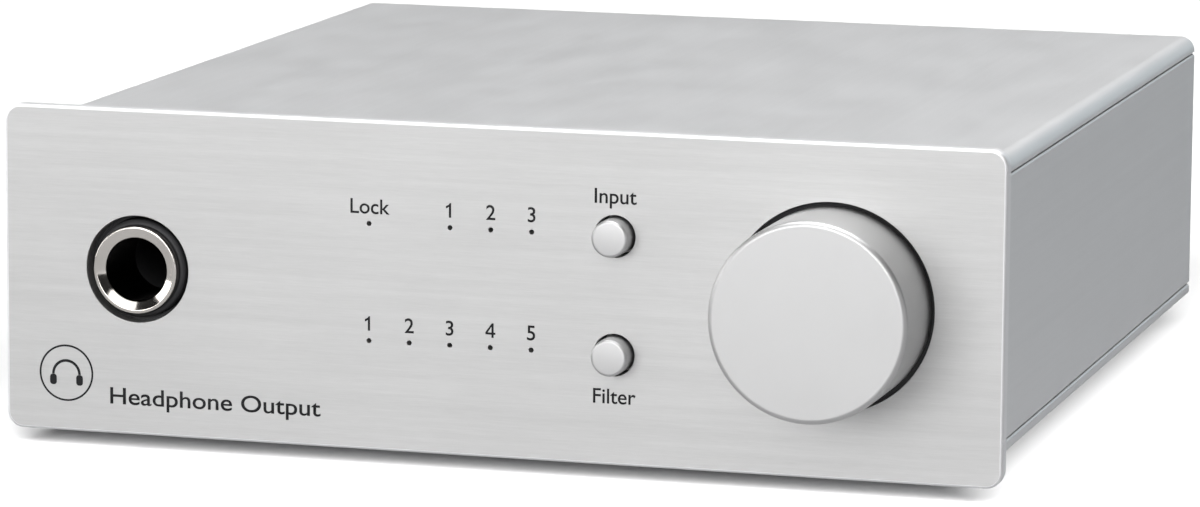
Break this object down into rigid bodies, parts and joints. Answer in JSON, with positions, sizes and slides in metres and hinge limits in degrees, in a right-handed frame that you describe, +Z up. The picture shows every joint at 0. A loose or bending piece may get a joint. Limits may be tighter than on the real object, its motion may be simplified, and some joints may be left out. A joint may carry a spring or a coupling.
{
  "type": "desktop dac",
  "caption": "Small metal desktop digital-to-analogue converter and headphone amplifier: brushed fascia, large volume knob, push buttons, headphone socket, rear phono, USB and optical sockets.",
  "frame": {"origin": "middle of the whole object's outline in X and Y, on the surface that the feet stand on", "axes": "+X to the right seen from the front, +Y from the front panel to the rear sockets, +Z up"},
  "size_m": [0.103, 0.1282, 0.0351],
  "materials": {
    "fascia": "brushed along its length, clear anodised",
    "case": "fine satin, anodised",
    "knob": "turned and blasted satin",
    "buttons": "turned and blasted satin",
    "nickel": "bright nickel plate",
    "steel": "zinc plated",
    "black_steel": "matt black",
    "black_plastic": "moulded, slightly satin",
    "white_plastic": "moulded",
    "red_plastic": "moulded",
    "amber_plastic": "moulded",
    "lens": "clear moulded resin",
    "board": "glass-epoxy laminate with solder mask",
    "rubber": "moulded, matt"
  },
  "bodies": {
    "chassis": {"front_panel": "fascia", "front_subframe": "black_steel", "frame_screw_left": "steel", "frame_screw_right": "steel", "top_cover": "case", "side_panel_left": "case", "side_panel_right": "case", "bottom_cover": "case", "rear_panel": "case", "rear_screw_1": "steel", "rear_screw_2": "steel", "rear_screw_3": "steel", "rear_screw_4": "steel", "foot_front_left": "rubber", "foot_front_right": "rubber", "foot_rear_left": "rubber", "foot_rear_right": "rubber", "foot_screw_front_left": "steel", "foot_screw_front_right": "steel", "foot_screw_rear_left": "steel", "foot_screw_rear_right": "steel", "pot_body": "steel", "pot_nut": "steel", "switch_input": "black_plastic", "switch_filter": "black_plastic", "led_status": "lens", "led_input_1": "lens", "led_input_2": "lens", "led_input_3": "lens", "led_filter_1": "lens", "led_filter_2": "lens", "led_filter_3": "lens", "led_filter_4": "lens", "led_filter_5": "lens", "jack_body": "black_plastic", "jack_ferrule": "nickel", "main_board": "board", "front_board": "board", "board_header": "black_plastic", "dac_chip": "black_plastic", "relay": "black_plastic", "capacitor_1": "black_plastic", "capacitor_2": "black_plastic", "line_left_socket": "white_plastic", "line_left_shell": "nickel", "line_right_socket": "red_plastic", "line_right_shell": "nickel", "coax_socket": "amber_plastic", "coax_shell": "nickel", "optical_socket": "black_plastic", "usb_socket": "nickel", "usb_tongue": "white_plastic", "dc_inlet": "black_plastic"},
    "volume": {"volume_knob": "knob", "pot_shaft": "steel"},
    "input_button": {"button_input": "buttons", "plunger_input": "black_plastic"},
    "filter_button": {"button_filter": "buttons", "plunger_filter": "black_plastic"},
    "optical_flap": {"optical_shutter": "black_plastic"}
  },
  "joints": [
    {"name": "volume_turn", "type": "hinge", "parent": "chassis", "child": "volume", "pos_m": [0.0342, -0.05475, 0.01892], "axis": [0, 1, 0], "range_deg": [-150, 150]},
    {"name": "input_press", "type": "slide", "parent": "chassis", "child": "input_button", "axis": [0, 1, 0], "range_m": [0, 0.0004], "stiffness_N_per_m": 800, "springref_m": -0.0005},
    {"name": "filter_press", "type": "slide", "parent": "chassis", "child": "filter_button", "axis": [0, 1, 0], "range_m": [0, 0.0004], "stiffness_N_per_m": 800, "springref_m": -0.0005},
    {"name": "optical_flap_swing", "type": "hinge", "parent": "chassis", "child": "optical_flap", "pos_m": [0.007, 0.05345, 0.02155], "axis": [-1, 0, 0], "range_deg": [0, 88], "stiffness_Nm_per_rad": 0.0006, "springref_deg": -17.19}
  ]
}
